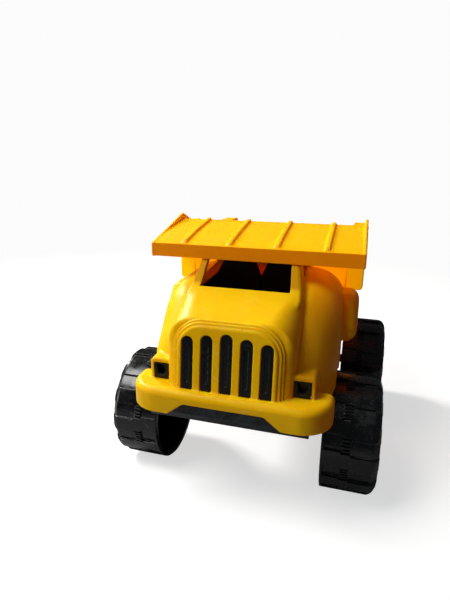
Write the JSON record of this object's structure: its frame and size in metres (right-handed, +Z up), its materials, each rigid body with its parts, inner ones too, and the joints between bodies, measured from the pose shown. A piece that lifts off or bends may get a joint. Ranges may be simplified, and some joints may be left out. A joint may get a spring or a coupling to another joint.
{
  "type": "toy dump truck",
  "caption": "Moulded plastic toy dump truck with free-rolling hollow wheels and a tipping bed whose canopy covers the cab.",
  "frame": {"origin": "on the ground, under the middle of the overall length and width", "axes": "+Z up, the truck's nose points to -Y, its left side (driver's view forward) is +X"},
  "size_m": [0.266, 0.3552, 0.2458],
  "materials": {
    "yellow_body": "moulded polyethylene, satin gloss, faint flow marks and scuffs",
    "yellow_bed": "moulded polyethylene, slightly translucent, light rub marks",
    "black_trim": "black moulded plastic, low sheen",
    "black_interior": "black moulded plastic, low sheen",
    "black_chassis": "black moulded plastic, semi-gloss",
    "black_wheel": "black hard plastic, semi-gloss, dusty with small scuffs",
    "steel_rod": "drawn steel rod",
    "steel_cap": "pressed zinc-plated steel",
    "steel_screw": "zinc-plated steel"
  },
  "bodies": {
    "chassis_and_cab": {"chassis": "black_chassis", "cab_shell": "yellow_body", "grille_insert": "black_trim", "headlight_bezel_left": "black_trim", "headlight_bezel_right": "black_trim", "seat_unit": "black_interior", "cab_screws": "steel_screw", "seat_screws": "steel_screw", "hinge_pin": "steel_rod", "hinge_pin_caps": "steel_cap"},
    "dump_bed": {"dump_bed": "yellow_bed"},
    "front_axle_set": {"front_axle": "steel_rod", "axle_cap_front_left": "steel_cap", "axle_cap_front_right": "steel_cap"},
    "rear_axle_set": {"rear_axle": "steel_rod", "axle_cap_rear_left": "steel_cap", "axle_cap_rear_right": "steel_cap"},
    "front_left_wheel": {"wheel_front_left": "black_wheel"},
    "front_right_wheel": {"wheel_front_right": "black_wheel"},
    "rear_left_wheel": {"wheel_rear_left": "black_wheel"},
    "rear_right_wheel": {"wheel_rear_right": "black_wheel"}
  },
  "joints": [
    {"name": "bed_tilt", "type": "hinge", "parent": "chassis_and_cab", "child": "dump_bed", "pos_m": [0, 0.1286, 0.1035], "axis": [-1, 0, 0], "range_deg": [0, 50]},
    {"name": "front_axle_spin", "type": "hinge", "parent": "chassis_and_cab", "child": "front_axle_set", "pos_m": [0, -0.0844, 0.0547], "axis": [1, 0, 0], "continuous": true},
    {"name": "rear_axle_spin", "type": "hinge", "parent": "chassis_and_cab", "child": "rear_axle_set", "pos_m": [0, 0.0902, 0.0547], "axis": [1, 0, 0], "continuous": true},
    {"name": "front_left_wheel_spin", "type": "hinge", "parent": "front_axle_set", "child": "front_left_wheel", "pos_m": [0.101, -0.0844, 0.0547], "axis": [1, 0, 0], "continuous": true},
    {"name": "front_right_wheel_spin", "type": "hinge", "parent": "front_axle_set", "child": "front_right_wheel", "pos_m": [-0.101, -0.0844, 0.0547], "axis": [1, 0, 0], "continuous": true},
    {"name": "rear_left_wheel_spin", "type": "hinge", "parent": "rear_axle_set", "child": "rear_left_wheel", "pos_m": [0.1085, 0.0902, 0.0547], "axis": [1, 0, 0], "continuous": true},
    {"name": "rear_right_wheel_spin", "type": "hinge", "parent": "rear_axle_set", "child": "rear_right_wheel", "pos_m": [-0.1085, 0.0902, 0.0547], "axis": [1, 0, 0], "continuous": true}
  ]
}
